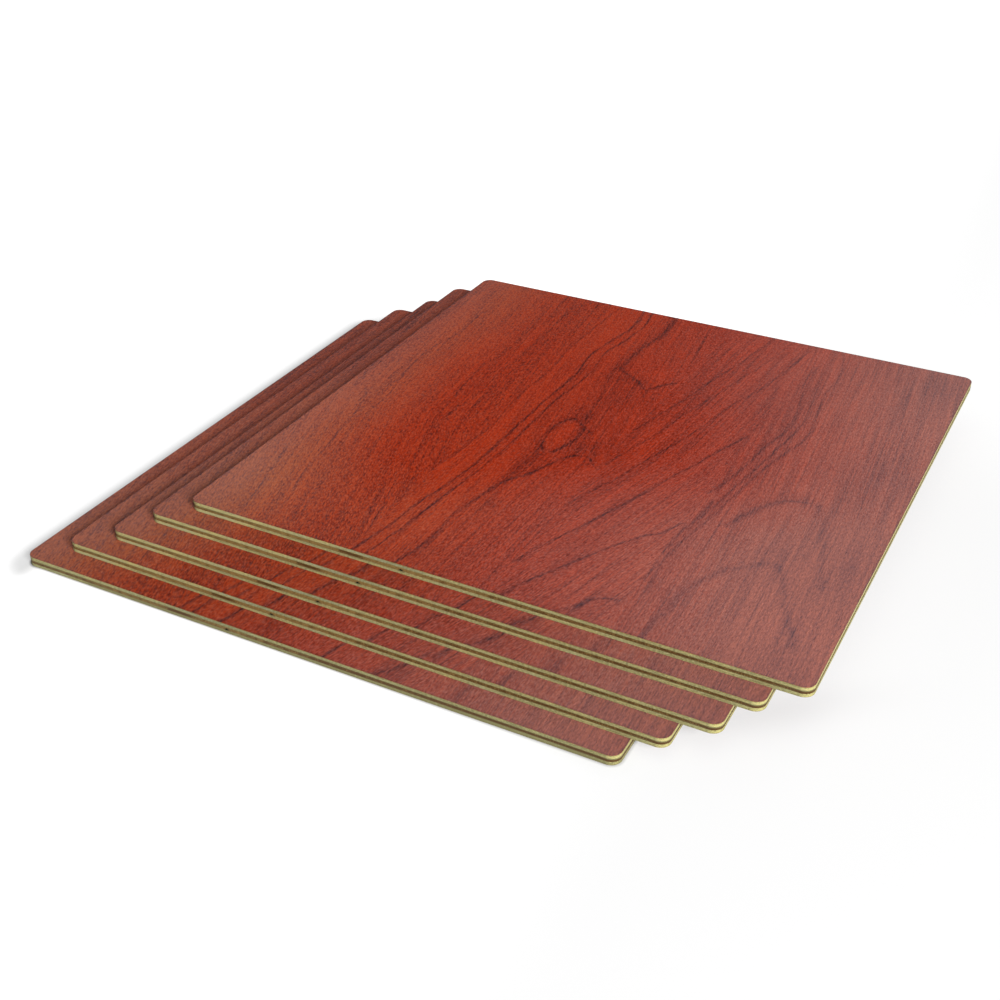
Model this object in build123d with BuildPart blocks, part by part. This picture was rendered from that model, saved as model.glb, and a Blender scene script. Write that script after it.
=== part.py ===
from build123d import *
import os

# Outline of a sheet. The face grain runs along Y, the sheet's depth.
sheet_width = 300.0
sheet_depth = 300.0
corner_radius = 5.0

# Lay-up of a sheet, from the face down: five leaves glued into one 5 mm panel
face_veneer_thickness = 0.2
upper_ply_thickness = 1.45
core_ply_thickness = 1.7
lower_ply_thickness = 1.45
back_veneer_thickness = 0.2

# Sanded arris round the outer side of each veneer, at most half the veneer
arris_break = 0.08

# Gap in the core: an arched hollow over the lower glue line, open at the front
# edge, which narrows as it runs back along the core's grain
gap_from_left = 115.5
gap_width = 1.9
gap_height = 0.85
gap_depth = 14.0
gap_end_width = 0.7
gap_end_height = 0.35

# Hand-laid stagger: how far each sheet lies past the one under it
steps_right = (15.0, 16.8, 11.8, 15.6)
steps_back = (12.8, 11.6, 14.3, 11.0)

sheet_thickness = (
    face_veneer_thickness
    + upper_ply_thickness
    + core_ply_thickness
    + lower_ply_thickness
    + back_veneer_thickness
)
sheet_count = len(steps_right) + 1

# Height of each leaf's underside above the underside of its sheet
lower_ply_base = back_veneer_thickness
core_ply_base = lower_ply_base + lower_ply_thickness
upper_ply_base = core_ply_base + core_ply_thickness
face_veneer_base = upper_ply_base + upper_ply_thickness

face_arris = min(arris_break, face_veneer_thickness / 2)
back_arris = min(arris_break, back_veneer_thickness / 2)

os.makedirs("parts", exist_ok=True)


def save(piece, label):
    """Name a finished piece and write it."""
    piece.label = label
    export_step(piece, f"parts/{label}.step")


# The origin is the middle of the floor space that the whole stack takes up
for below in range(sheet_count):
    centre_x = sum(steps_right[:below]) - sum(steps_right) / 2
    centre_y = sum(steps_back[:below]) - sum(steps_back) / 2
    sheet = Plane((centre_x, centre_y, below * sheet_thickness))
    name = f"sheet_{below + 1}"

    with BuildPart() as back_veneer:
        with BuildSketch(sheet):
            RectangleRounded(sheet_width, sheet_depth, corner_radius)
        extrude(amount=back_veneer_thickness)
        chamfer(back_veneer.edges().group_by(Axis.Z)[0], length=back_arris)
    save(back_veneer.part, f"{name}_back_veneer")

    with BuildPart() as lower_ply:
        with BuildSketch(sheet.offset(lower_ply_base)):
            RectangleRounded(sheet_width, sheet_depth, corner_radius)
        extrude(amount=lower_ply_thickness)
    save(lower_ply.part, f"{name}_lower_ply")

    # The gap's sections stand on the core's underside: its mouth on the front
    # edge, its end the gap's depth behind it
    mouth = Plane(
        origin=sheet.from_local_coords(
            (gap_from_left - sheet_width / 2, -sheet_depth / 2, core_ply_base)
        ),
        x_dir=(1, 0, 0),
        z_dir=(0, -1, 0),
    )
    sections = (
        (mouth, gap_width, gap_height),
        (mouth.offset(-gap_depth), gap_end_width, gap_end_height),
    )
    with BuildPart() as core_ply:
        with BuildSketch(sheet.offset(core_ply_base)):
            RectangleRounded(sheet_width, sheet_depth, corner_radius)
        extrude(amount=core_ply_thickness)
        for section, width, height in sections:
            with BuildSketch(section):
                with BuildLine():
                    foot = Line((-width / 2, 0), (width / 2, 0))
                    ThreePointArc(foot @ 1, (0, height), foot @ 0)
                make_face()
        loft(mode=Mode.SUBTRACT)
    save(core_ply.part, f"{name}_core_ply")

    with BuildPart() as upper_ply:
        with BuildSketch(sheet.offset(upper_ply_base)):
            RectangleRounded(sheet_width, sheet_depth, corner_radius)
        extrude(amount=upper_ply_thickness)
    save(upper_ply.part, f"{name}_upper_ply")

    with BuildPart() as face_veneer:
        with BuildSketch(sheet.offset(face_veneer_base)):
            RectangleRounded(sheet_width, sheet_depth, corner_radius)
        extrude(amount=face_veneer_thickness)
        chamfer(face_veneer.edges().group_by(Axis.Z)[-1], length=face_arris)
    save(face_veneer.part, f"{name}_face_veneer")
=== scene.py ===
from math import cos, radians, sin

import bmesh
import bpy
from bpy.props import FloatProperty, FloatVectorProperty, PointerProperty
from mathutils import Matrix, Vector


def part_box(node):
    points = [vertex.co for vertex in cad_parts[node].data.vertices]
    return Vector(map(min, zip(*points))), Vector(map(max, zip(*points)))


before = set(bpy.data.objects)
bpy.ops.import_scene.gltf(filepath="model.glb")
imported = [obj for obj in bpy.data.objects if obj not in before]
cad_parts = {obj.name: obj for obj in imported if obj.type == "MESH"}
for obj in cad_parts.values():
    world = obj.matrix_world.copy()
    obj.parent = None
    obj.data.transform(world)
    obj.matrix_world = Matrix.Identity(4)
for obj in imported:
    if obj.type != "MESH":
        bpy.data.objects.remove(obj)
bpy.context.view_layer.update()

bl_info = {
    "name": "Plywood sheet stack",
    "version": (1, 0, 0),
    "blender": (4, 5, 0),
    "location": "View3D > Sidebar > Plywood",
    "description": "Finishes a stack of veneered plywood sheets and sets it on a pale floor",
    "category": "Material",
}

SHEETS = sum(name.endswith("_face_veneer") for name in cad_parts)
MM = 0.001


def sheet_box(number):
    """Lowest and highest corner of one sheet, all its leaves together."""
    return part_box(f"sheet_{number}_back_veneer")[0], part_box(f"sheet_{number}_face_veneer")[1]


# The lowest sheet: its left edge in metres, and the size of a sheet in mm
FIRST_LOW, FIRST_HIGH = sheet_box(1)
LEFT_EDGE = FIRST_LOW.x
WIDTH, DEPTH, _ = (FIRST_HIGH - FIRST_LOW) / MM

# Heights of the core's and the face veneer's undersides, in mm from the sheet's
CORE_LOW, FACE_LOW = 1.65, 4.8

# Where the front edge changes to the look of its right end, in mm from the left
RIGHT_END = (291.0, 299.0)

# The gap in the core, in mm from the sheet's left and from its underside
GAP_X, GAP_Z = 115.5, 1.95

# Depth of the plies' saw marks, in metres
SAW_MARK_DEPTH = 0.00008

# Camera shift, as a share of the picture's width
CAMERA_SHIFT = (0.01283, -0.01905)

# Kinds of socket of the node groups
FLOAT, VECTOR = "NodeSocketFloat", "NodeSocketVector"

# Half the side of the floor, and how far the lamps stand from the stack, in metres
FLOOR_REACH = 6.0
LAMP_DISTANCE = 3.0

# Growth lines of the face veneer's figure, traced one by one. Each is a name, how
# dark and how wide in mm it is, how far its shade spreads to the left (less
# than 0) or right, and its points as (mm from the front edge, mm from the left).
GROWTH_LINES = (
    ("pair left", 1.15, 0.9, 2.5, (
        (0, 90), (22, 94), (52, 97), (68, 100), (90, 102.5), (120, 103.5), (165, 104),
        (205, 105.5), (228, 103), (250, 105.5), (275, 109), (300, 107))),
    ("pair right", 1.1, 0.75, 2.0, (
        (0, 97), (20, 100), (50, 103), (75, 106), (105, 108.5), (140, 109), (170, 109),
        (205, 112), (238, 109.5), (258, 113), (280, 115), (300, 112))),
    ("tongue left", 0.8, 1.8, -3.0, (
        (217, 132), (220, 127), (230, 125), (250, 125.5), (265, 128), (285, 129.3), (300, 127))),
    ("tongue tip left", 0.65, 1.9, -5.0, (
        (203, 148.5), (205, 146), (209, 142), (213, 138), (217, 132), (219, 128))),
    ("tongue tip right", 0.85, 1.5, 4.0, (
        (206, 149), (210, 150.5), (214, 153), (218, 156), (221, 159))),
    ("eye left", 1.0, 1.3, -3.0, (
        (118, 127.5), (124, 124), (130, 122), (138, 120.7), (146, 121.2), (152, 123), (158, 126))),
    ("eye foot", 0.5, 1.3, 3.0, (
        (110, 126.5), (118, 124), (125, 121), (135, 119))),
    ("eye top", 0.65, 1.1, 3.0, (
        (146, 141), (150, 137), (153, 132.5), (158, 126))),
    ("eye right", 1.05, 1.3, 3.0, (
        (119, 130.5), (124, 132.5), (131, 134.6), (138, 136), (147, 136.3), (151, 135))),
    ("arch left", 0.95, 1.2, -4.0, (
        (0, 112), (8, 114), (18, 116), (28, 117), (40, 116.3), (57, 117.5), (72, 120.5),
        (86, 124), (95, 130), (102, 133), (110, 136), (117, 139), (121.5, 142), (124.5, 149))),
    ("arch right", 0.9, 0.9, 2.5, (
        (116, 156.5), (118, 154.5), (121, 152), (124.5, 149))),
    ("slant 1", 0.6, 0.8, 2.0, (
        (159, 158.3), (165, 160), (187, 165), (207, 170), (230, 174), (255, 180), (282, 185),
        (300, 188))),
    ("slant 2", 0.5, 0.8, 2.0, (
        (120, 160), (135, 163), (160, 170), (180, 173.5), (200, 178), (222, 183.5), (243, 188),
        (258, 192), (272, 195), (300, 199))),
    ("slant 3", 0.6, 0.8, 2.0, (
        (79, 159), (90, 162), (108, 168.5), (130, 174.5), (150, 180.5), (170, 186), (190, 190),
        (207, 193), (230, 200), (250, 204.5), (273, 208), (300, 213))),
    ("slant 4", 0.85, 0.95, 2.0, (
        (24, 158.5), (38, 162), (54, 168), (72, 175), (92, 182), (106, 187), (126, 193),
        (146, 200), (165, 206), (175, 210), (183, 213))),
    ("slant 5", 0.85, 0.95, 2.0, (
        (0, 165), (10, 168), (21, 173), (38, 182), (54, 190), (62, 195), (70, 200), (76, 206),
        (84, 210), (90, 213))),
    ("hook", 0.75, 2.1, 2.5, (
        (0, 190.5), (4, 193), (10, 197), (16, 201), (19, 206), (20.5, 213))),
    ("upright 0", 0.45, 1.8, -4.0, (
        (148, 212), (175, 213), (200, 213.5), (220, 211), (245, 208))),
    ("upright 1", 0.65, 0.9, -2.5, (
        (95, 217.5), (115, 221), (130, 223), (150, 226), (172, 229), (190, 231.5), (210, 232.7),
        (235, 230), (258, 227), (285, 225), (300, 223.5))),
    ("upright 2", 0.6, 1.0, -2.5, (
        (92, 221), (110, 223.5), (135, 227), (155, 230), (172, 234), (195, 239), (220, 237),
        (240, 234), (268, 234.5), (290, 231), (300, 228))),
    ("upright 3", 0.65, 1.1, -2.5, (
        (118, 213.5), (135, 218), (158, 221.5), (178, 224), (195, 227.5), (212, 227),
        (225, 225.5), (250, 220.5), (275, 220))),
    ("upright 4", 0.5, 0.9, 2.0, (
        (38, 213.3), (60, 216), (88, 219.5), (100, 221.5), (118, 222))),
    ("upright 5", 0.7, 0.9, 2.0, (
        (60, 213.4), (80, 214.2), (95, 216.5), (114, 218.3))),
    ("outer arch left", 0.65, 2.4, -5.0, (
        (94, 231), (103, 233), (112, 237), (120, 241), (126, 245), (130, 250),
        (132, 256), (133.5, 261))),
    ("outer arch right", 0.42, 2.6, 4.0, (
        (66, 283), (77, 280), (88, 278), (103, 273), (113, 270), (123, 267), (130, 264),
        (133.5, 261))),
    ("inner arch left", 0.5, 2.4, -5.0, (
        (0, 228), (20, 231), (40, 233.5), (48, 235), (54, 239), (63, 243), (66.5, 248),
        (70, 253), (75, 256), (78, 260))),
    ("inner arch right", 0.58, 2.4, 4.0, (
        (20, 285), (30, 282), (43, 275), (50, 272), (58, 270), (65, 267), (72, 264), (78, 260))),
    ("far left 1", 0.7, 0.7, 2.0, (
        (118, 28), (130, 27.5), (142, 26), (158, 22.5), (180, 19.5), (195, 19), (215, 22),
        (230, 23), (250, 21))),
    ("far left 2", 0.65, 0.8, 3.0, (
        (28, 39), (40, 35), (60, 31), (80, 27.5), (100, 24), (112, 22), (120, 20), (128, 17.3),
        (135, 13.5), (141, 10))),
    ("far left 3", 0.6, 0.8, 3.0, (
        (0, 28), (12, 25), (20, 23), (28, 21), (38, 18), (50, 15), (62, 11.5), (68, 8))),
    ("band edge", 0.7, 0.9, -3.0, (
        (84, 88.3), (105, 90.3), (130, 92), (150, 91), (170, 89.5), (190, 90.5), (205, 91),
        (232, 89), (262, 90), (300, 92))),
    ("stripe 1", 0.35, 0.8, 2.0, (
        (150, 60), (165, 57.5), (190, 56), (220, 59), (235, 58), (262, 57.5), (300, 57))),
    ("stripe 2", 0.4, 0.8, 2.0, (
        (130, 66), (160, 69), (190, 68), (230, 68.5), (250, 67.5), (290, 67))),
    ("stripe 3", 0.3, 0.8, 2.0, (
        (110, 78), (130, 77), (145, 74), (170, 73), (205, 73.5), (240, 72.5))),
)

# Soft patches of the face between its lines: the middle in mm from the left and
# from the front edge, half the width, half the length, and how dark. Those less
# than 0 are light, such as the last one, the wood inside the eye
PATCHES = (
    (74, 175, 12, 120, 0.12),
    (25, 226, 6, 14, -0.6),
    (92, 287, 4, 10, -0.5),
    (208, 284, 5, 10, -0.5),
    (59, 214, 6, 16, -0.35),
    (88, 87, 4, 12, -0.7),
    (136, 188, 14, 22, 0.8),
    (129, 174, 4, 9, 0.6),
    (108, 211, 6, 9, 0.6),
    (132, 213, 8, 6, 0.8),
    (131, 160, 7, 8, 1.6),
    (139, 148, 3, 9, 1.0),
    (121, 146, 2.5, 9, 0.5),
    (126, 104, 6, 13, 1.2),
    (126, 62, 7, 6, 0.8),
    (145, 131, 7, 10, 1.5),
    (166, 250, 7, 40, 0.5),
    (178, 175, 10, 50, 0.2),
    (205, 190, 6, 50, 0.15),
    (184, 208, 4, 9, 0.7),
    (224, 190, 6, 80, 0.4),
    (254, 133, 10, 4, 0.8),
    (258, 84, 6, 6, 0.4),
    (243, 62, 5, 6, 0.4),
    (206, 20, 6, 3, 0.8),
    (285, 165, 14, 30, 0.5),
    (284, 280, 13, 20, 0.9),
    (1, 190, 5, 30, 1.1),
    # This one, along the left edge, is painted shade
    (1, 255, 4, 40, 1.6),
    (1, 75, 4, 50, 0.45),
    (116, 14, 5, 12, 1.0),
    (135, 15, 12, 25, 0.4),
    (197, 5, 5, 6, 0.8),
    (72, 10, 14, 25, 0.4),
    (84, 70, 3, 30, 0.3),
    (122, 222, 4, 6, 0.5),
    (145, 224, 5, 8, -0.7),
    (153, 170, 4, 16, -0.6),
    (228, 35, 10, 12, 0.5),
    (228, 285, 14, 25, -0.4),
    (127.5, 138, 5, 13, -0.9),
)

# Leaves of the face veneer, laid side by side: the seam on the left in mm, how
# far its fibres lean to the right towards the front edge, how much more they
# lean near the front, and the depth where that begins
LEAVES = (
    (-10, 0.11, 0.16, 125),
    (88, 0.12, -0.14, 120),
    (158, -0.07, -0.16, 135),
    (213, 0.08, -0.04, 130),
)


class FaceVeneerFinish(bpy.types.PropertyGroup):
    deep: FloatVectorProperty(
        name="Deep wood",
        description="Colour of the stained veneer where it is most saturated",
        subtype="COLOR", size=3, min=0, max=1, default=(0.435, 0.027, 0.001))
    # The next three colours are partly the veneer's own paler colour and partly painted sheen,
    # towards the right and the rim
    pale_sheen_wood: FloatVectorProperty(
        name="Hazy wood",
        description="Colour of the veneer where the finish is dull, towards the rim",
        subtype="COLOR", size=3, min=0, max=1, default=(0.415, 0.141, 0.105))
    warm_pale_sheen: FloatVectorProperty(
        name="Warm haze",
        description="Colour of the veneer where the finish is dull on its left and front",
        subtype="COLOR", size=3, min=0, max=1, default=(0.425, 0.13, 0.062))
    late_wood: FloatVectorProperty(
        name="Late wood",
        description="Colour of the late wood where the veneer is deep",
        subtype="COLOR", size=3, min=0, max=1, default=(0.05, 0.002, 0.0005))
    pale_sheen_late_wood: FloatVectorProperty(
        name="Hazy late wood",
        description="Colour of the late wood where the finish is dull",
        subtype="COLOR", size=3, min=0, max=1, default=(0.11, 0.058, 0.068))
    # The flecks are painted glints, added to the veneer's colour
    fleck: FloatVectorProperty(
        name="Flecks",
        description="Light that the brightest short fibres add to the veneer",
        subtype="COLOR", size=3, min=0, max=1, default=(0.022, 0.009, 0.009))
    cut_edge: FloatVectorProperty(
        name="Cut edge",
        description="Colour of the veneer where it is cut at the rim",
        subtype="COLOR", size=3, min=0, max=1, default=(0.262, 0.104, 0.024))
    back_cut_edge: FloatVectorProperty(
        name="Cut edge, back",
        description="Colour of the back veneer where it is cut at the rim",
        subtype="COLOR", size=3, min=0, max=1, default=(0.235, 0.185, 0.077))
    line_strength: FloatProperty(
        name="Growth lines",
        description="How dark the growth lines are",
        subtype="FACTOR", min=0, max=1, default=0.43)
    shade_strength: FloatProperty(
        name="Line shade",
        description="How dark the shade beside the growth lines is",
        subtype="FACTOR", min=0, max=1, default=0.1)
    patch_strength: FloatProperty(
        name="Patches",
        description="How strongly the patches between the lines show",
        subtype="FACTOR", min=0, max=1, default=0.22)
    streak_strength: FloatProperty(
        name="Streaks",
        description="How strongly the fibres are streaked",
        subtype="FACTOR", min=0, max=1, default=0.28)
    roughness: FloatProperty(
        name="Roughness",
        description="Roughness of the sealed, satin face",
        subtype="FACTOR", min=0, max=1, default=0.42)
    pore_depth: FloatProperty(
        name="Pore depth",
        description="Depth of the pores and fibres that show through the finish",
        subtype="DISTANCE", unit="LENGTH", min=0, max=0.001, default=0.00007)


class PlyFinish(bpy.types.PropertyGroup):
    pale: FloatVectorProperty(
        name="Pale ply",
        description="Colour of the sawn edge of the upper and lower plies",
        subtype="COLOR", size=3, min=0, max=1, default=(0.45, 0.4, 0.157))
    grey_ply: FloatVectorProperty(
        name="Grey ply",
        description="Colour of the greyer stretches of the pale plies",
        subtype="COLOR", size=3, min=0, max=1, default=(0.32, 0.35, 0.215))
    pale_streak: FloatVectorProperty(
        name="Pale ply streak",
        description="Colour of the darker fibres in the pale plies",
        subtype="COLOR", size=3, min=0, max=1, default=(0.19, 0.175, 0.075))
    core: FloatVectorProperty(
        name="Core ply",
        description="Colour of the lighter stretches of the core's sawn edge",
        subtype="COLOR", size=3, min=0, max=1, default=(0.23, 0.145, 0.047))
    core_dark: FloatVectorProperty(
        name="Dark core",
        description="Colour of the dark stretches of the core's sawn edge",
        subtype="COLOR", size=3, min=0, max=1, default=(0.07, 0.031, 0.007))
    # The gap colour is painted shade inside the gap in the core
    gap: FloatVectorProperty(
        name="Gap",
        description="Colour of the grimy inside of the gap in the core",
        subtype="COLOR", size=3, min=0, max=1, default=(0.012, 0.008, 0.004))
    roughness: FloatProperty(
        name="Roughness",
        description="Roughness of the sawn edges",
        subtype="FACTOR", min=0, max=1, default=0.75)


class StageSettings(bpy.types.PropertyGroup):
    floor: FloatVectorProperty(
        name="Floor",
        description="Colour of the pale floor",
        subtype="COLOR", size=3, min=0, max=1, default=(0.4, 0.4, 0.4))
    glow_left: FloatProperty(
        name="Floor glow, left",
        description="How far the seen floor is lifted towards white behind and left of the stack",
        min=0, max=1, default=0.85)
    glow_right: FloatProperty(
        name="Floor glow, right",
        description="How far the seen floor is lifted towards white before and right of the stack",
        min=0, max=1, default=0.55)
    room_light: FloatProperty(
        name="Room light",
        description="Strength of the soft light of the room, from overhead and the horizon",
        min=0, max=5, default=1.0)
    key_power: FloatProperty(
        name="Key lamp",
        description="Power of the soft lamp at the front right",
        subtype="POWER", unit="POWER", min=0, max=1000, default=146)
    back_power: FloatProperty(
        name="Back lamp",
        description="Power of the weak lamp behind, for the sheen on the right of the veneer",
        subtype="POWER", unit="POWER", min=0, max=1000, default=5)
    camera_at: FloatVectorProperty(
        name="Camera",
        description="Where the camera stands",
        subtype="TRANSLATION", unit="LENGTH", size=3, default=(0.267855, -0.56232, 0.374802))
    camera_azimuth: FloatProperty(
        name="Azimuth",
        description="How far the camera is turned to the left of the sheets' depth",
        subtype="ANGLE", unit="ROTATION", default=radians(27.752))
    camera_pitch: FloatProperty(
        name="Pitch",
        description="How far the camera looks down",
        subtype="ANGLE", unit="ROTATION", default=radians(30.875))
    lens: FloatProperty(
        name="Lens",
        description="Focal length for a 36 mm wide picture",
        subtype="DISTANCE_CAMERA", unit="CAMERA", min=1, max=500, default=51.143)


def feed(tree, socket, value):
    """Links an output to a socket, or sets the socket's own value."""
    if isinstance(value, bpy.types.NodeSocket):
        tree.links.new(value, socket)
    else:
        socket.default_value = value


def calc(tree, operation, *values, clamp=False):
    """A Math node on numbers or sockets; returns its output."""
    node = tree.nodes.new("ShaderNodeMath")
    node.operation = operation
    node.use_clamp = clamp
    for socket, value in zip(node.inputs, values):
        feed(tree, socket, value)
    return node.outputs[0]


def total(tree, first, *others):
    """The sum of numbers or sockets."""
    for other in others:
        first = calc(tree, "ADD", first, other)
    return first


def product(tree, first, *others):
    """The product of numbers or sockets."""
    for other in others:
        first = calc(tree, "MULTIPLY", first, other)
    return first


def add_shares(tree, value, shares):
    """The value with a share of each part added, from (part, share) pairs."""
    for part, share in shares:
        value = calc(tree, "MULTIPLY_ADD", part, share, value)
    return value


def bell(tree, value):
    """1 where the value is 0, falling off softly as it grows."""
    return calc(tree, "EXPONENT", product(tree, value, -1.0))


def place(tree, kind, inputs=None, **settings):
    """A new node with its settings and inputs set."""
    node = tree.nodes.new(kind)
    for name, value in settings.items():
        setattr(node, name, value)
    for name, value in (inputs or {}).items():
        feed(tree, node.inputs[name], value)
    return node


def stretch(tree, vector, factors):
    """The vector divided, axis by axis, by the factors in mm."""
    inputs = {0: vector, 1: factors}
    return place(tree, "ShaderNodeVectorMath", inputs, operation="DIVIDE").outputs[0]


def noise(tree, vector, detail=2.0, roughness=0.5):
    """Noise of unit size over a vector, about 0 to 1."""
    inputs = {"Vector": vector, "Scale": 1.0, "Detail": detail, "Roughness": roughness}
    return place(tree, "ShaderNodeTexNoise", inputs).outputs["Fac"]


def ramp(tree, value, low, high, out_low=0.0, out_high=1.0):
    """A smooth step of the value from low to high."""
    inputs = {"Value": value, "From Min": low, "From Max": high, "To Min": out_low,
              "To Max": out_high}
    node = place(tree, "ShaderNodeMapRange", inputs, interpolation_type="SMOOTHSTEP")
    return node.outputs["Result"]


def blend(tree, factor, first, second):
    """Two colours mixed by a factor."""
    node = tree.nodes.new("ShaderNodeMix")
    node.data_type = "RGBA"
    feed(tree, node.inputs["Factor"], factor)
    for name, value in (("A", first), ("B", second)):
        socket = [s for s in node.inputs if s.name == name and s.type == "RGBA"][0]
        feed(tree, socket, value if isinstance(value, bpy.types.NodeSocket) else (*value, 1.0))
    return [s for s in node.outputs if s.type == "RGBA"][0]


def split(tree, vector):
    """The three numbers of a vector."""
    node = place(tree, "ShaderNodeSeparateXYZ", {0: vector})
    return node.outputs[0], node.outputs[1], node.outputs[2]


def join(tree, x, y, z):
    """A vector from three numbers."""
    return place(tree, "ShaderNodeCombineXYZ", {0: x, 1: y, 2: z}).outputs[0]


def new_group(name, inputs, outputs):
    """An empty shader node group with inputs (a name and a value, or none for a
    vector) and outputs. Returns the tree, its inputs and its output node's."""
    tree = bpy.data.node_groups.new(name, "ShaderNodeTree")
    for label, value in inputs.items():
        kind = VECTOR if value is None else FLOAT
        socket = tree.interface.new_socket(name=label, in_out="INPUT", socket_type=kind)
        if value is not None:
            socket.default_value = value
    for label, kind in outputs.items():
        tree.interface.new_socket(name=label, in_out="OUTPUT", socket_type=kind)
    return tree, tree.nodes.new("NodeGroupInput").outputs, tree.nodes.new("NodeGroupOutput").inputs


def use(tree, group, **values):
    """A placed node group; names of inputs are written with underscores."""
    node = tree.nodes.new("ShaderNodeGroup")
    node.node_tree = group
    for name, value in values.items():
        feed(tree, node.inputs[name.replace("_", " ").capitalize()], value)
    return node.outputs


def growth_line_group():
    """One dark growth line with a soft shade on one side, at a place in mm."""
    tree, given, out = new_group(
        "Growth line",
        {"Across": 0.0, "Along": 0.0, "Line": 0.0, "Start": 0.0, "End": 300.0, "Width": 1.0,
         "Shade": 3.0},
        {"Mask": FLOAT, "Shade": FLOAT})
    offset = calc(tree, "SUBTRACT", given["Across"], given["Line"])
    near = calc(tree, "DIVIDE", offset, given["Width"])
    thin = bell(tree, product(tree, near, near))
    side = calc(tree, "DIVIDE", offset, given["Shade"])
    fade = bell(tree, calc(tree, "MAXIMUM", side, 0.0))
    soft = product(tree, fade, ramp(tree, side, -0.2, 0.1))

    # The line fades in over 3 mm at its start and out over 3 mm at its end
    start = ramp(tree, given["Along"], calc(tree, "SUBTRACT", given["Start"], 1.0),
                 total(tree, given["Start"], 2.0))
    end = ramp(tree, given["Along"], calc(tree, "SUBTRACT", given["End"], 2.0),
               total(tree, given["End"], 1.0), 1.0, 0.0)
    within = product(tree, start, end)
    feed(tree, out["Mask"], product(tree, thin, within))
    feed(tree, out["Shade"], product(tree, soft, within))
    return tree


def patch_group():
    """One soft patch, strongest at its middle."""
    tree, given, out = new_group(
        "Soft patch",
        {"Across": 0.0, "Along": 0.0, "Middle across": 0.0, "Middle along": 0.0,
         "Half width": 10.0, "Half length": 30.0},
        {"Mask": FLOAT})
    reach = []
    for axis, middle, half in (("Across", "Middle across", "Half width"),
                               ("Along", "Middle along", "Half length")):
        offset = calc(tree, "SUBTRACT", given[axis], given[middle])
        share = calc(tree, "DIVIDE", offset, given[half])
        reach.append(product(tree, share, share))
    feed(tree, out["Mask"], bell(tree, total(tree, *reach)))
    return tree


def soft_patch(tree, group, across, along, middle_x, middle_y, half_width, half_length):
    """The mask of one soft patch, with its middle and half sizes in mm."""
    return use(
        tree, group, across=across, along=along, middle_across=middle_x,
        middle_along=middle_y, half_width=half_width, half_length=half_length)[0]


def streak_group():
    """Streaks of darker and lighter wood along the fibres, from -1 to 1."""
    tree, given, out = new_group(
        "Wood streaks",
        {"Position": None, "Width": 3.0, "Length": 60.0, "Detail": 3.0},
        {"Tone": FLOAT})
    size = join(tree, given["Width"], given["Length"], given["Width"])
    cells = stretch(tree, given["Position"], size)
    grain = noise(tree, cells, detail=given["Detail"], roughness=0.55)
    spread = calc(tree, "MULTIPLY_ADD", grain, 4.0, -2.0)
    feed(tree, out["Tone"], calc(tree, "MAXIMUM", calc(tree, "MINIMUM", spread, 1.0), -1.0))
    return tree


def streaks(tree, groups, position, *sizes):
    """Wood streaks, one set for each width, length and detail."""
    return [
        use(tree, groups["streaks"], position=position, width=width, length=length,
            detail=detail)[0]
        for width, length, detail in sizes]


def pore_group():
    """Short dark pores along the fibres."""
    tree, given, out = new_group(
        "Wood pores",
        {"Position": None, "Width": 0.45, "Length": 5.0, "Amount": 0.45},
        {"Pores": FLOAT})
    size = join(tree, given["Width"], given["Length"], given["Width"])
    grain = noise(tree, stretch(tree, given["Position"], size), detail=1.0)
    low = calc(tree, "SUBTRACT", 1.0, given["Amount"])
    feed(tree, out["Pores"], ramp(tree, grain, low, total(tree, low, 0.2)))
    return tree


def fibre_group():
    """Straightens the fibres of each leaf, so that a plain grain follows them."""
    tree, given, out = new_group(
        "Fibre course", {"Position": None}, {"Position": VECTOR})
    x, y, z = split(tree, given["Position"])
    leaves_apart = 90.0
    shift = 0.0
    for number, (seam, lean, front_lean, below) in enumerate(LEAVES):
        here = calc(tree, "GREATER_THAN", x, seam)
        if number + 1 < len(LEAVES):
            next_seam = LEAVES[number + 1][0]
            here = calc(tree, "SUBTRACT", here, calc(tree, "GREATER_THAN", x, next_seam))
        depth = calc(tree, "MAXIMUM", calc(tree, "SUBTRACT", below, y), 0.0)
        leaf_shift = calc(tree, "MULTIPLY_ADD", depth, -front_lean, leaves_apart * number)
        leaf_shift = calc(tree, "MULTIPLY_ADD", y, lean, leaf_shift)
        shift = calc(tree, "MULTIPLY_ADD", here, leaf_shift, shift)
    feed(tree, out["Position"], join(tree, total(tree, x, shift), y, z))
    return tree


def rim_group():
    """How far a position lies inside the sheet's rounded outline, in mm."""
    tree, given, out = new_group(
        "Sheet rim",
        {"Position": None, "Corner": 5.0},
        {"Inset": FLOAT})
    x, y, _ = split(tree, given["Position"])
    reach = []
    for value, size in ((x, WIDTH), (y, DEPTH)):
        from_middle = calc(tree, "ABSOLUTE", calc(tree, "SUBTRACT", value, size / 2))
        inner = calc(tree, "SUBTRACT", size / 2, given["Corner"])
        reach.append(calc(tree, "SUBTRACT", from_middle, inner))
    outside = [calc(tree, "MAXIMUM", part, 0.0) for part in reach]
    squares = [calc(tree, "POWER", part, 2.0) for part in outside]
    length = calc(tree, "SQRT", total(tree, *squares))
    inner = calc(tree, "MINIMUM", calc(tree, "MAXIMUM", *reach), 0.0)
    past = total(tree, length, inner)
    feed(tree, out["Inset"], calc(tree, "SUBTRACT", given["Corner"], past))
    return tree


def line_curve(tree, along, points):
    """The place across the sheet, in mm, of a growth line at a place along it."""
    node = place(tree, "ShaderNodeFloatCurve", {"Value": along})
    mapping = node.mapping
    mapping.use_clip = False
    curve = mapping.curves[0]
    spots = [(y / DEPTH, x / WIDTH) for y, x in points]
    curve.points[0].location = spots[0]
    curve.points[1].location = spots[-1]
    for spot in spots[1:-1]:
        curve.points.new(*spot)
    for point in curve.points:
        point.handle_type = "AUTO"
    mapping.extend = "HORIZONTAL"
    mapping.update()
    return product(tree, node.outputs[0], WIDTH)


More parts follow.
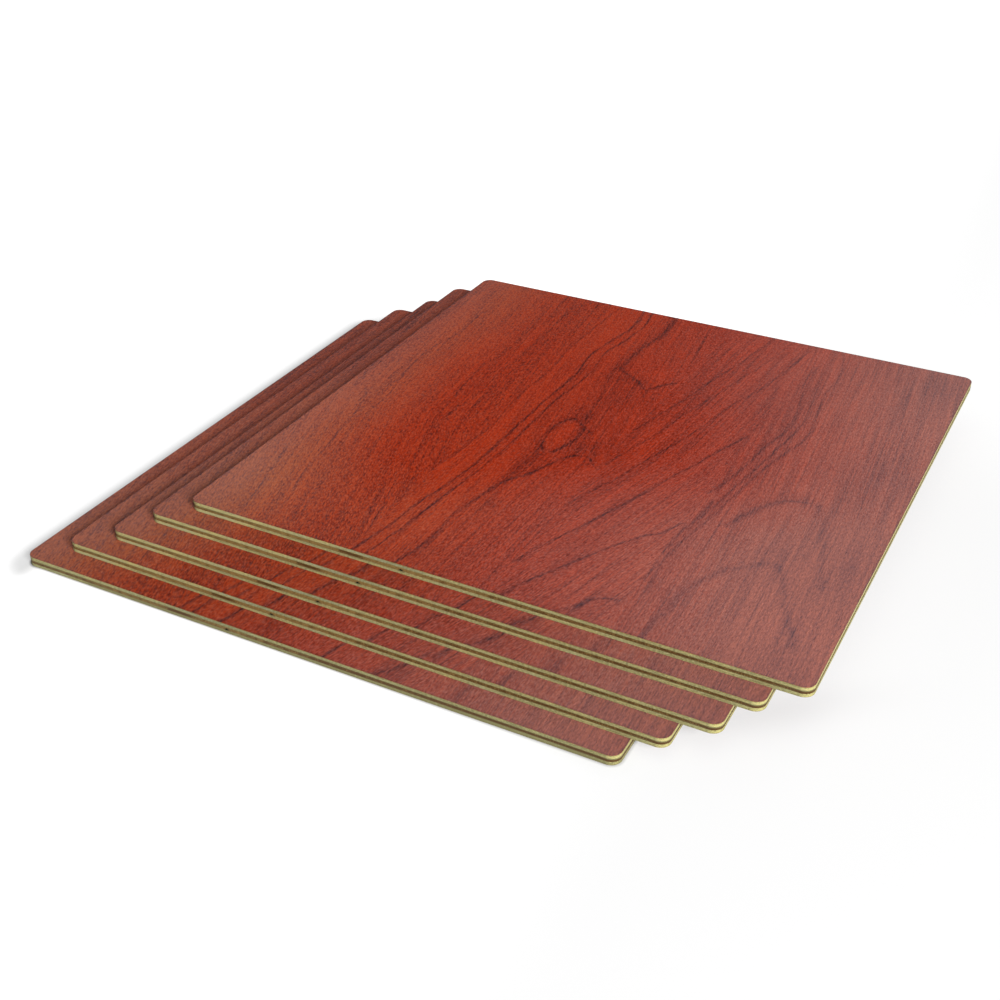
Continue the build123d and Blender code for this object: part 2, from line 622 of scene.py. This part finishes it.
def figure_group(growth_line, patch):
    """All the growth lines and soft patches of the face, at a place in mm."""
    tree, given, out = new_group(
        "Face figure",
        {"Position": None, "Waviness": 1.0},
        {"Lines": FLOAT, "Shade": FLOAT, "Patches": FLOAT})
    position = given["Position"]
    x, y, _ = split(tree, position)

    # The lines wander by up to 1.1 mm to each side. One that reaches a sheet's
    # edge goes on past it
    past_edge = 5.0
    wander = noise(tree, stretch(tree, position, (8.0, 13.0, 8.0)))
    ragged = noise(tree, stretch(tree, position, (0.8, 3.5, 0.8)), detail=1.0)
    shift = calc(tree, "MULTIPLY_ADD", wander, 1.4, -0.7)
    shift = total(tree, shift, calc(tree, "MULTIPLY_ADD", ragged, 0.8, -0.4))
    across = calc(tree, "MULTIPLY_ADD", shift, given["Waviness"], x)
    share = calc(tree, "DIVIDE", y, DEPTH)
    lines, shades = 0.0, 0.0
    for _, dark, width, shade, points in GROWTH_LINES:
        first, last = float(points[0][0]), float(points[-1][0])
        line = use(
            tree, growth_line, across=across, along=y, line=line_curve(tree, share, points),
            width=width, shade=shade, start=first if first > 0.5 else -past_edge,
            end=last if last < DEPTH - 0.5 else DEPTH + past_edge)
        lines = calc(tree, "MAXIMUM", lines, product(tree, line["Mask"], dark))
        shades = calc(tree, "MAXIMUM", shades, product(tree, line["Shade"], dark))
    uneven = noise(tree, stretch(tree, position, (5.0, 16.0, 5.0)))
    broken = ramp(tree, uneven, 0.3, 0.6, 0.7, 1.1)

    # The patches' outlines stray by up to 8 mm to each side
    stray = noise(tree, stretch(tree, position, (7.0, 22.0, 7.0)), detail=3.0)
    astray = total(tree, x, calc(tree, "MULTIPLY_ADD", stray, 16.0, -8.0))
    patches = 0.0
    for middle_x, middle_y, half_width, half_length, dark in PATCHES:
        mask = soft_patch(
            tree, patch, astray, y, middle_x, middle_y, half_width, half_length)
        patches = calc(tree, "MULTIPLY_ADD", mask, dark, patches)
    feed(tree, out["Lines"], product(tree, lines, broken))
    feed(tree, out["Shade"], shades)
    feed(tree, out["Patches"], patches)
    return tree


def sheet_position(tree, number):
    """Object coordinates in mm from the sheet's front left lower corner."""
    low, _ = sheet_box(number)
    coordinates = place(tree, "ShaderNodeTexCoord").outputs["Object"]
    mapping = place(tree, "ShaderNodeMapping", {"Vector": coordinates}, vector_type="POINT")
    mapping.inputs["Location"].default_value = -low / MM
    mapping.inputs["Scale"].default_value = (1 / MM, 1 / MM, 1 / MM)
    return mapping.outputs[0]


def new_material(name):
    """A material with only a Principled shader and its output."""
    material = bpy.data.materials.new(name)
    material.use_nodes = True
    tree = material.node_tree
    return material, tree, tree.nodes["Principled BSDF"]


def face_pallor_and_sheen(tree, groups, x, y, fibres, dabs, sheen):
    """How pale the veneer is, from 0 to 1, partly its own colour and partly painted
    sheen: least left of the middle, and more towards the right and the rim."""
    on_left = product(tree, ramp(tree, x, -17.0, 75.0, 1.0, 0.0),
                      ramp(tree, y, 100.0, 260.0, 0.9, 0.54))
    less_pallor = soft_patch(tree, groups["patch"], x, y, 190.0, 152.0, 48.0, 50.0)
    more_pallor = soft_patch(tree, groups["patch"], x, y, 280.0, 85.0, 50.0, 60.0)
    from_front = total(tree, y, ramp(tree, x, 70.0, 170.0, 45.0, 0.0))
    pallor_and_sheen = total(tree, ramp(tree, x, 120.0, 340.0), on_left,
                 ramp(tree, from_front, 67.0, 146.0, 0.27, 0.0),
                 ramp(tree, y, 161.0, 271.0, 0.0, 0.12))
    pallor_and_sheen = add_shares(tree, pallor_and_sheen, ((less_pallor, -0.08), (more_pallor, 0.15)))
    pallor_and_sheen = calc(tree, "MAXIMUM", pallor_and_sheen, 0.07)
    cloud = noise(tree, stretch(tree, fibres, (3.0, 9.0, 3.0)))
    pallor_and_sheen = total(tree, pallor_and_sheen, calc(tree, "MULTIPLY_ADD", cloud, 0.2, -0.1))
    pallor_and_sheen = calc(tree, "MULTIPLY_ADD", dabs, 0.09, pallor_and_sheen)
    return calc(tree, "MULTIPLY_ADD", sheen, 0.16, pallor_and_sheen, clamp=True)


def face_darkness(tree, groups, position, inset, grain, finish, strength):
    """How far the wood goes over to late wood, from 0 to 1."""
    x, _, _ = split(tree, position)
    dabs, threads, middling, broad, pores = grain
    figure = use(tree, groups["figure"], position=position)

    # The middle leaf is pale between its seam and the tongue
    pale = product(tree, ramp(tree, x, 87.5, 88.5), ramp(tree, x, 114.0, 124.0, 1.0, 0.0))
    dark = total(tree, calc(tree, "MULTIPLY_ADD", pale, -0.12, 0.29),
                 ramp(tree, x, 10.0, 80.0, -0.09, 0.0), ramp(tree, x, 240.0, 290.0, 0.0, 0.05))

    # The short dabs stand out most in the left leaf and least on the right
    contrast = total(tree, ramp(tree, x, 84.0, 92.0, 1.35, 1.0),
                     ramp(tree, x, 150.0, 240.0, 0.0, -0.35))
    lighter = -finish.streak_strength
    dark = add_shares(tree, dark, (
        (product(tree, dabs, contrast), 1.2 * lighter),
        (threads, 0.95 * lighter),
        (middling, 0.36 * lighter),
        (broad, 0.25 * lighter),
        (pores, 0.2),
        (figure["Shade"], finish.shade_strength * strength),
        (figure["Patches"], finish.patch_strength * strength),
        (figure["Lines"], finish.line_strength * strength)))
    # Darker within 1 mm of the rim: painted shade along the arris
    return calc(tree, "ADD", dark, ramp(tree, inset, 0.0, 1.0, 0.3, 0.0), clamp=True)


def face_material(name, number, groups, finish, strength, cut_edge):
    """Red-brown veneer: figure, streaks and pores, paler towards the rim, partly by painted sheen.
    """
    material, tree, shader = new_material(name)
    position = sheet_position(tree, number)
    x, y, z = split(tree, position)
    inset = use(tree, groups["rim"], position=position)[0]

    # Short dabs and long threads, which run along the fibres. Each sheet's come
    # from another depth of the same grain
    sheets_apart = 40.0
    own = join(tree, x, y, total(tree, z, sheets_apart * number))
    fibres = use(tree, groups["fibres"], position=own)[0]
    # The second set, sheen, drives the painted sheen and glints on the fibres
    dabs, sheen, threads, middling, broad = streaks(
        tree, groups, fibres, (0.8, 2.2, 1.5), (0.7, 1.6, 1.0), (0.9, 60.0, 2.0),
        (2.4, 36.0, 1.5), (7.0, 110.0, 1.5))
    pores = use(tree, groups["pores"], position=fibres, width=0.5, length=2.6, amount=0.42)[0]

    # Paler towards the right and the rim: partly the veneer's own colour, partly painted sheen
    pallor_and_sheen = face_pallor_and_sheen(tree, groups, x, y, fibres, dabs, sheen)
    cool = total(tree, ramp(tree, x, 90.0, 170.0), ramp(tree, x, 4.0, 26.0, 0.38, 0.0))
    pale_sheen_wood = blend(tree, cool, finish.warm_pale_sheen, finish.pale_sheen_wood)
    wood = blend(tree, pallor_and_sheen, finish.deep, pale_sheen_wood)
    late_wood = blend(tree, pallor_and_sheen, finish.late_wood, finish.pale_sheen_late_wood)
    grain = (dabs, threads, middling, broad, pores)
    dark = face_darkness(tree, groups, position, inset, grain, finish, strength)
    wood = blend(tree, dark, wood, late_wood)

    # Painted sheen and glints of the fibres, scaled and added into the colour. The
    # faces under the top one are a little darker, painted shade of the stack, and
    # each face has painted shade near its front edge
    light = 1.0 if number == SHEETS else 0.91
    painted_sheen_and_shade = calc(tree, "MULTIPLY_ADD", sheen, 0.075, light)
    painted_sheen_and_shade = product(tree, painted_sheen_and_shade, ramp(tree, y, 0.0, 30.0, 0.93, 1.0))
    wood = place(tree, "ShaderNodeVectorMath", {0: wood, "Scale": painted_sheen_and_shade},
                 operation="SCALE").outputs[0]
    fleck = ramp(tree, sheen, 0.0, 0.9)
    inputs = {0: join(tree, fleck, fleck, fleck), 1: finish.fleck, 2: wood}
    wood = place(tree, "ShaderNodeVectorMath", inputs, operation="MULTIPLY_ADD").outputs[0]

    normal = place(tree, "ShaderNodeNewGeometry").outputs["True Normal"]
    _, _, up = split(tree, normal)
    side = ramp(tree, calc(tree, "ABSOLUTE", up), 0.3, 0.8, 1.0, 0.0)
    feed(tree, shader.inputs["Base Color"], blend(tree, side, wood, cut_edge))
    shader.inputs["Specular IOR Level"].default_value = 0.13
    roughness = calc(tree, "MULTIPLY_ADD", pores, 0.15, finish.roughness)
    feed(tree, shader.inputs["Roughness"], roughness)
    height = calc(tree, "MULTIPLY_ADD", pores, -0.6, product(tree, dabs, 0.6))
    inputs = {"Strength": 1.0, "Distance": finish.pore_depth, "Height": height}
    bump = place(tree, "ShaderNodeBump", inputs)
    feed(tree, shader.inputs["Normal"], bump.outputs[0])
    return material


def spot(tree, x, middle_x, half_width, z, middle_z, half_height):
    """A soft oval spot on two numbers, from 0 to 1."""
    spread = 0.0
    for value, middle, half in ((x, middle_x, half_width), (z, middle_z, half_height)):
        share = calc(tree, "DIVIDE", calc(tree, "SUBTRACT", value, middle), half)
        spread = calc(tree, "MULTIPLY_ADD", share, share, spread)
    return bell(tree, spread)


def by_gap(tree, groups, position):
    """Where painted shade lies: inside the gap, whose faces alone lie within the sheet,
    and round its mouth on the front edge."""
    inset = use(tree, groups["rim"], position=position)[0]
    x, y, z = split(tree, position)
    mouth = product(tree, spot(tree, x, GAP_X, 1.2, z, GAP_Z, 0.65),
                    ramp(tree, y, 1.0, 3.0, 0.9, 0.0))
    return calc(tree, "MAXIMUM", ramp(tree, inset, 0.02, 0.3), mouth)


def sawn_edge(tree, shader, groups, position, wood, tone, finish):
    """Gives a ply's shader its colour with painted shade in and by the gap, and its saw marks."""
    colour = blend(tree, by_gap(tree, groups, position), wood, finish.gap)
    feed(tree, shader.inputs["Base Color"], colour)
    shader.inputs["Roughness"].default_value = finish.roughness
    inputs = {"Strength": 0.5, "Distance": SAW_MARK_DEPTH, "Height": tone}
    bump = place(tree, "ShaderNodeBump", inputs)
    feed(tree, shader.inputs["Normal"], bump.outputs[0])


def pale_ply_material(name, number, groups, finish):
    """Sawn edge of a pale ply, its fibres along the sheet's width."""
    material, tree, shader = new_material(name)
    position = sheet_position(tree, number)
    x, y, z = split(tree, position)
    mapping = place(tree, "ShaderNodeMapping", {"Vector": position}, vector_type="POINT")
    mapping.inputs["Rotation"].default_value = (0, 0, radians(90))
    turned = mapping.outputs[0]
    fibres, specks, broad, hue = streaks(
        tree, groups, turned, (0.35, 9.0, 3.0), (0.5, 1.2, 1.0), (2.0, 50.0, 3.0),
        (1.6, 14.0, 3.0))

    # Whether this is the lower ply, right of the gap, and near the front edge
    in_lower = ramp(tree, z, 1.6, 3.4, 1.0, 0.0)
    to_right = ramp(tree, x, 90.0, 130.0)
    front = ramp(tree, y, 0.5, 12.0, 1.0, 0.0)

    # Darker towards the right; the lower ply is the lighter one on the left, and the
    # top of the upper one is darker on the right
    tone = total(tree, ramp(tree, x, 40.0, 120.0, 0.22, 0.5),
                 ramp(tree, x, *RIGHT_END, 0.0, -0.4))
    lower = product(tree, in_lower, ramp(tree, x, 30.0, 48.0, -0.2, 0.14),
                    ramp(tree, x, 80.0, 130.0, 1.0, 0.0))
    top_darkening = product(tree, ramp(tree, z, 4.35, FACE_LOW), ramp(tree, x, 60.0, 140.0, 0.1, 0.5))
    stain = product(tree, spot(tree, x, 278.0, 3.0, z, 0.9, 0.5), front)
    check = product(tree, spot(tree, x, 243.0, 0.3, z, 4.1, 0.6), front)
    by_core = product(tree, ramp(tree, z, 0.9, CORE_LOW), in_lower,
                      spot(tree, x, 85.0, 60.0, z, CORE_LOW, 2.0))
    on_right = product(tree, ramp(tree, x, 299.0, 299.9), in_lower)
    over_core = product(tree, ramp(tree, z, 3.4, 4.1, 1.0, 0.0), to_right)
    fresher = product(tree, in_lower, to_right)
    tone = add_shares(tree, tone, (
        (lower, 1.0), (top_darkening, 1.0), (stain, 0.5), (check, 0.6), (by_core, 0.5),
        (on_right, 0.3), (over_core, 0.14), (fresher, -0.09), (fibres, 0.35), (specks, 0.5),
        (broad, 0.25)))

    # The lowest sheet has painted shade, most of all near the floor
    painted_shade = 0.55 if number == 1 else 0.0
    shaded = ramp(tree, z, 0.9, 3.4, 1.0, ramp(tree, x, 80.0, 130.0, 0.55, 0.3))
    tone = calc(tree, "MULTIPLY_ADD", shaded, painted_shade, tone)
    tone = calc(tree, "MAXIMUM", calc(tree, "MINIMUM", tone, 1.4), 0.0)
    grey = total(tree, ramp(tree, hue, -0.8, 1.0, 0.0, 0.7),
                 spot(tree, x, 108.0, 20.0, z, 4.1, 0.7))
    grey = calc(tree, "MULTIPLY", grey, ramp(tree, x, *RIGHT_END, 1.0, 0.0), clamp=True)
    fresh = blend(tree, grey, finish.pale, finish.grey_ply)
    wood = blend(tree, calc(tree, "MINIMUM", tone, 1.0), fresh, finish.pale_streak)
    sawn_edge(tree, shader, groups, position, wood, tone, finish)
    return material


def core_ply_material(name, number, groups, finish):
    """Sawn edge of the core ply, its fibres along the sheet's depth. It is dark
    in a band that narrows and rises towards the right."""
    material, tree, shader = new_material(name)
    position = sheet_position(tree, number)
    x, _, z = split(tree, position)
    specks, lumps, broad = streaks(
        tree, groups, position, (0.6, 6.0, 2.0), (3.0, 40.0, 3.0), (11.0, 120.0, 3.0))

    # How dark it is across the sheet: brown, then golden up to the dark patch,
    # speckled beside it, and darker and darker to the right
    tone = ramp(tree, x, 25.0, 55.0, 0.42, 0.22)
    for start, end, change in ((80.0, 85.0, 0.72), (94.0, 98.0, -0.75), (112.0, 150.0, 0.22),
                               (146.0, 165.0, 0.3), (188.0, 200.0, -0.1), (200.0, 235.0, 0.3),
                               (*RIGHT_END, 0.5)):
        tone = total(tree, tone, ramp(tree, x, start, end, 0.0, change))
    glue = product(tree, spot(tree, x, WIDTH, 30.0, z, 1.78, 0.13), 0.8)
    fleck = spot(tree, x, 87.5, 1.2, z, 2.75, 0.35)
    tone = add_shares(tree, tone, (
        (specks, 0.6), (lumps, 0.42), (broad, 0.15), (glue, 1.0), (fleck, 0.6)))
    # The lowest sheet's core is darker: painted shade
    painted_shade = 0.3 if number == 1 else 0.0
    tone = calc(tree, "ADD", tone, painted_shade, clamp=True)

    middle = total(tree, ramp(tree, x, 0.0, 260.0, 2.2, 2.55),
                   ramp(tree, x, *RIGHT_END, 0.0, -0.35))
    half = total(tree, ramp(tree, x, 10.0, 50.0, 0.75, 1.2),
                 ramp(tree, x, 160.0, 270.0, 0.0, -0.5))
    share = calc(tree, "DIVIDE", calc(tree, "SUBTRACT", z, middle), half)
    share = product(tree, share, share)
    band = calc(tree, "MAXIMUM", bell(tree, product(tree, share, share)), glue)
    wood = blend(tree, tone, finish.core, finish.core_dark)
    wood = blend(tree, band, finish.pale_streak, wood)
    sawn_edge(tree, shader, groups, position, wood, tone, finish)
    return material


def shared_groups():
    """The shader node groups, made once and then found by name."""
    if "Face figure" not in bpy.data.node_groups:
        figure_group(growth_line_group(), patch_group())
        fibre_group()
        pore_group()
        streak_group()
        rim_group()
    names = {"figure": "Face figure", "patch": "Soft patch", "fibres": "Fibre course",
             "pores": "Wood pores", "streaks": "Wood streaks", "rim": "Sheet rim"}
    return {key: bpy.data.node_groups[name] for key, name in names.items()}


def dress(node, material):
    """Gives a CAD piece its material."""
    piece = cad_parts[node]
    if not piece.material_slots:
        piece.data.materials.append(None)
    for slot in piece.material_slots:
        slot.material = material


class PLYWOOD_OT_face_veneers(bpy.types.Operator):
    """Finishes the red-brown veneer on the face of each sheet"""
    bl_idname = "plywood.face_veneers"
    bl_label = "Face veneers"

    def execute(self, context):
        groups = shared_groups()
        finish = context.scene.plywood_face
        for number in range(1, SHEETS + 1):
            material = face_material(
                f"red_veneer_{number}", number, groups, finish, 1.0, finish.cut_edge)
            dress(f"sheet_{number}_face_veneer", material)
        return {"FINISHED"}


class PLYWOOD_OT_back_veneers(bpy.types.Operator):
    """Finishes the plainer veneer on the back of each sheet"""
    bl_idname = "plywood.back_veneers"
    bl_label = "Back veneers"

    def execute(self, context):
        groups = shared_groups()
        finish = context.scene.plywood_face
        strength = 0.4
        for number in range(1, SHEETS + 1):
            # The lowest sheet's back veneer edge, on the floor, is darker: painted shade
            painted_shade_factor = 0.6 if number == 1 else 1.0
            cut_edge = [part * painted_shade_factor for part in finish.back_cut_edge]
            material = face_material(
                f"back_veneer_{number}", number, groups, finish, strength, cut_edge)
            dress(f"sheet_{number}_back_veneer", material)
        return {"FINISHED"}


class PLYWOOD_OT_pale_plies(bpy.types.Operator):
    """Finishes the pale plies above and below each core"""
    bl_idname = "plywood.pale_plies"
    bl_label = "Pale plies"

    def execute(self, context):
        groups = shared_groups()
        finish = context.scene.plywood_plies
        for number in range(1, SHEETS + 1):
            material = pale_ply_material(f"pale_ply_{number}", number, groups, finish)
            dress(f"sheet_{number}_upper_ply", material)
            dress(f"sheet_{number}_lower_ply", material)
        return {"FINISHED"}


class PLYWOOD_OT_core_plies(bpy.types.Operator):
    """Finishes the dark core ply of each sheet"""
    bl_idname = "plywood.core_plies"
    bl_label = "Core plies"

    def execute(self, context):
        groups = shared_groups()
        finish = context.scene.plywood_plies
        for number in range(1, SHEETS + 1):
            material = core_ply_material(f"core_ply_{number}", number, groups, finish)
            dress(f"sheet_{number}_core_ply", material)
        return {"FINISHED"}


def direction(azimuth, elevation):
    """The unit vector at an azimuth, from +X to +Y, and an elevation, in degrees."""
    turn, rise = radians(azimuth), radians(elevation)
    return Vector((cos(turn) * cos(rise), sin(turn) * cos(rise), sin(rise)))


def add_lamp(name, size, power, azimuth, elevation):
    """A square soft lamp that shines on the stack from a direction in degrees."""
    lamp = bpy.data.lights.new(name, "AREA")
    lamp.shape = "SQUARE"
    lamp.size = size
    lamp.energy = power
    lamp_object = bpy.data.objects.new(name, lamp)
    bpy.context.scene.collection.objects.link(lamp_object)
    at = direction(azimuth, elevation) * LAMP_DISTANCE
    lamp_object.matrix_world = Matrix.LocRotScale(at, (-at).to_track_quat("-Z", "Y"), None)
    return lamp_object


def floor_shade(tree, groups, x):
    """How much the floor's glow is lowered round the lowest sheet, a painted shadow:
    close to its edges, and in a wider strip beside its left one."""
    inset = use(tree, groups["rim"], position=sheet_position(tree, 1))[0]
    contact = total(tree, ramp(tree, inset, -1.6, 0.1, 0.0, 0.6),
                    ramp(tree, inset, -9.0, 0.0, 0.0, 0.04))
    left_side = ramp(tree, x, LEFT_EDGE, LEFT_EDGE + 0.012, 1.0, 0.0)
    beside = total(tree, ramp(tree, inset, -26.0, -7.0, 0.0, 0.22),
                   ramp(tree, inset, -13.0, -5.0, 0.0, 0.27))
    return calc(tree, "MULTIPLY_ADD", left_side, beside, contact)


def floor_material(settings, groups):
    """Pale floor that looks white to the camera and in gloss, and keeps shadows."""
    material, tree, shader = new_material("pale_floor")
    path = place(tree, "ShaderNodeLightPath").outputs
    seen = calc(tree, "MAXIMUM", path["Is Camera Ray"],
                calc(tree, "MAXIMUM", path["Is Glossy Ray"], path["Is Transmission Ray"]))
    shader.inputs["Base Color"].default_value = (*settings.floor, 1.0)
    shader.inputs["Roughness"].default_value = 1.0
    shader.inputs["Specular IOR Level"].default_value = 0.0
    shader.inputs["Emission Color"].default_value = (1.0, 1.0, 1.0, 1.0)

    # Brighter on the left, behind the stack and far away from it
    position = place(tree, "ShaderNodeTexCoord").outputs["Object"]
    x, y, _ = split(tree, position)
    away = place(tree, "ShaderNodeVectorMath", {0: position}, operation="LENGTH")
    glow = total(tree, ramp(tree, x, -0.05, 0.15, settings.glow_left, settings.glow_right),
                 ramp(tree, y, 0.06, 0.25, 0.0, 0.09),
                 ramp(tree, away.outputs["Value"], 0.7, 2.0, 0.0, 0.5))

    # Painted shadow: a little darker under the overhanging corners at the front right, in a
    # spot along the diagonal that they lie on
    turn = radians(40.0)
    along = calc(tree, "MULTIPLY_ADD", x, cos(turn), product(tree, y, sin(turn)))
    across = calc(tree, "MULTIPLY_ADD", x, sin(turn), product(tree, y, -cos(turn)))
    overhang = spot(tree, along, 0.0445, 0.045, across, 0.1914, 0.011)
    glow = calc(tree, "MULTIPLY_ADD", overhang, -0.085, glow)
    lit = calc(tree, "SUBTRACT", 1.0, floor_shade(tree, groups, x))
    feed(tree, shader.inputs["Emission Strength"], product(tree, seen, glow, lit))
    return material


def light_room(settings):
    """A pale room: bright at eye level and overhead, dimmer between."""
    world = bpy.data.worlds.new("pale_room")
    world.use_nodes = True
    tree = world.node_tree
    outward = place(tree, "ShaderNodeTexCoord").outputs["Generated"]
    _, _, height = split(tree, outward)
    horizon = ramp(tree, height, 0.05, 0.25, 1.0, 0.1)
    overhead = ramp(tree, height, 0.6, 1.0, 0.0, 0.4)
    light = product(tree, total(tree, horizon, overhead), settings.room_light)
    feed(tree, tree.nodes["Background"].inputs["Strength"], light)
    tree.nodes["Background"].inputs["Color"].default_value = (1.0, 1.0, 1.0, 1.0)
    bpy.context.scene.world = world


def place_camera(settings):
    """The camera, turned left by the azimuth and down by the pitch."""
    camera = bpy.data.cameras.new("camera")
    camera.sensor_width = 36.0
    camera.lens = settings.lens
    camera.shift_x, camera.shift_y = CAMERA_SHIFT
    camera.clip_start = 0.01
    camera_object = bpy.data.objects.new("camera", camera)
    bpy.context.scene.collection.objects.link(camera_object)
    azimuth, pitch = settings.camera_azimuth, settings.camera_pitch
    look = Vector((-sin(azimuth) * cos(pitch), cos(azimuth) * cos(pitch), -sin(pitch)))
    turn = look.to_track_quat("-Z", "Y")
    camera_object.matrix_world = Matrix.LocRotScale(Vector(settings.camera_at), turn, None)
    bpy.context.scene.camera = camera_object


class PLYWOOD_OT_stage(bpy.types.Operator):
    """Lays the pale floor and sets up the lamps and the camera"""
    bl_idname = "plywood.stage"
    bl_label = "Stage"

    def execute(self, context):
        settings = context.scene.plywood_stage
        shape = bmesh.new()
        bmesh.ops.create_grid(shape, x_segments=1, y_segments=1, size=FLOOR_REACH)
        mesh = bpy.data.meshes.new("floor")
        shape.to_mesh(mesh)
        shape.free()
        mesh.materials.append(floor_material(settings, shared_groups()))
        floor = bpy.data.objects.new("floor", mesh)
        context.scene.collection.objects.link(floor)
        light_room(settings)
        key_lamp = add_lamp("key_lamp", 1.3, settings.key_power, -35, 25)
        key_lamp.visible_glossy = False
        add_lamp("back_lamp", 1.0, settings.back_power, 85, 31)
        place_camera(settings)
        context.scene.view_settings.view_transform = "Standard"
        return {"FINISHED"}


OPERATORS = (
    PLYWOOD_OT_face_veneers,
    PLYWOOD_OT_back_veneers,
    PLYWOOD_OT_pale_plies,
    PLYWOOD_OT_core_plies,
    PLYWOOD_OT_stage,
)
SETTINGS = {
    "plywood_face": FaceVeneerFinish,
    "plywood_plies": PlyFinish,
    "plywood_stage": StageSettings,
}


class PLYWOOD_PT_panel(bpy.types.Panel):
    bl_label = "Plywood"
    bl_space_type = "VIEW_3D"
    bl_region_type = "UI"
    bl_category = "Plywood"

    def draw(self, context):
        for name, kind in SETTINGS.items():
            box = self.layout.box()
            for field in kind.__annotations__:
                box.prop(getattr(context.scene, name), field)
        for operator in OPERATORS:
            self.layout.operator(operator.bl_idname)


CLASSES = (*SETTINGS.values(), *OPERATORS, PLYWOOD_PT_panel)


def register():
    for kind in CLASSES:
        bpy.utils.register_class(kind)
    for name, kind in SETTINGS.items():
        setattr(bpy.types.Scene, name, PointerProperty(type=kind))


def unregister():
    for name in SETTINGS:
        delattr(bpy.types.Scene, name)
    for kind in reversed(CLASSES):
        bpy.utils.unregister_class(kind)


def main():
    register()
    bpy.ops.plywood.face_veneers()
    bpy.ops.plywood.back_veneers()
    bpy.ops.plywood.pale_plies()
    bpy.ops.plywood.core_plies()
    bpy.ops.plywood.stage()


if __name__ == "__main__":
    main()
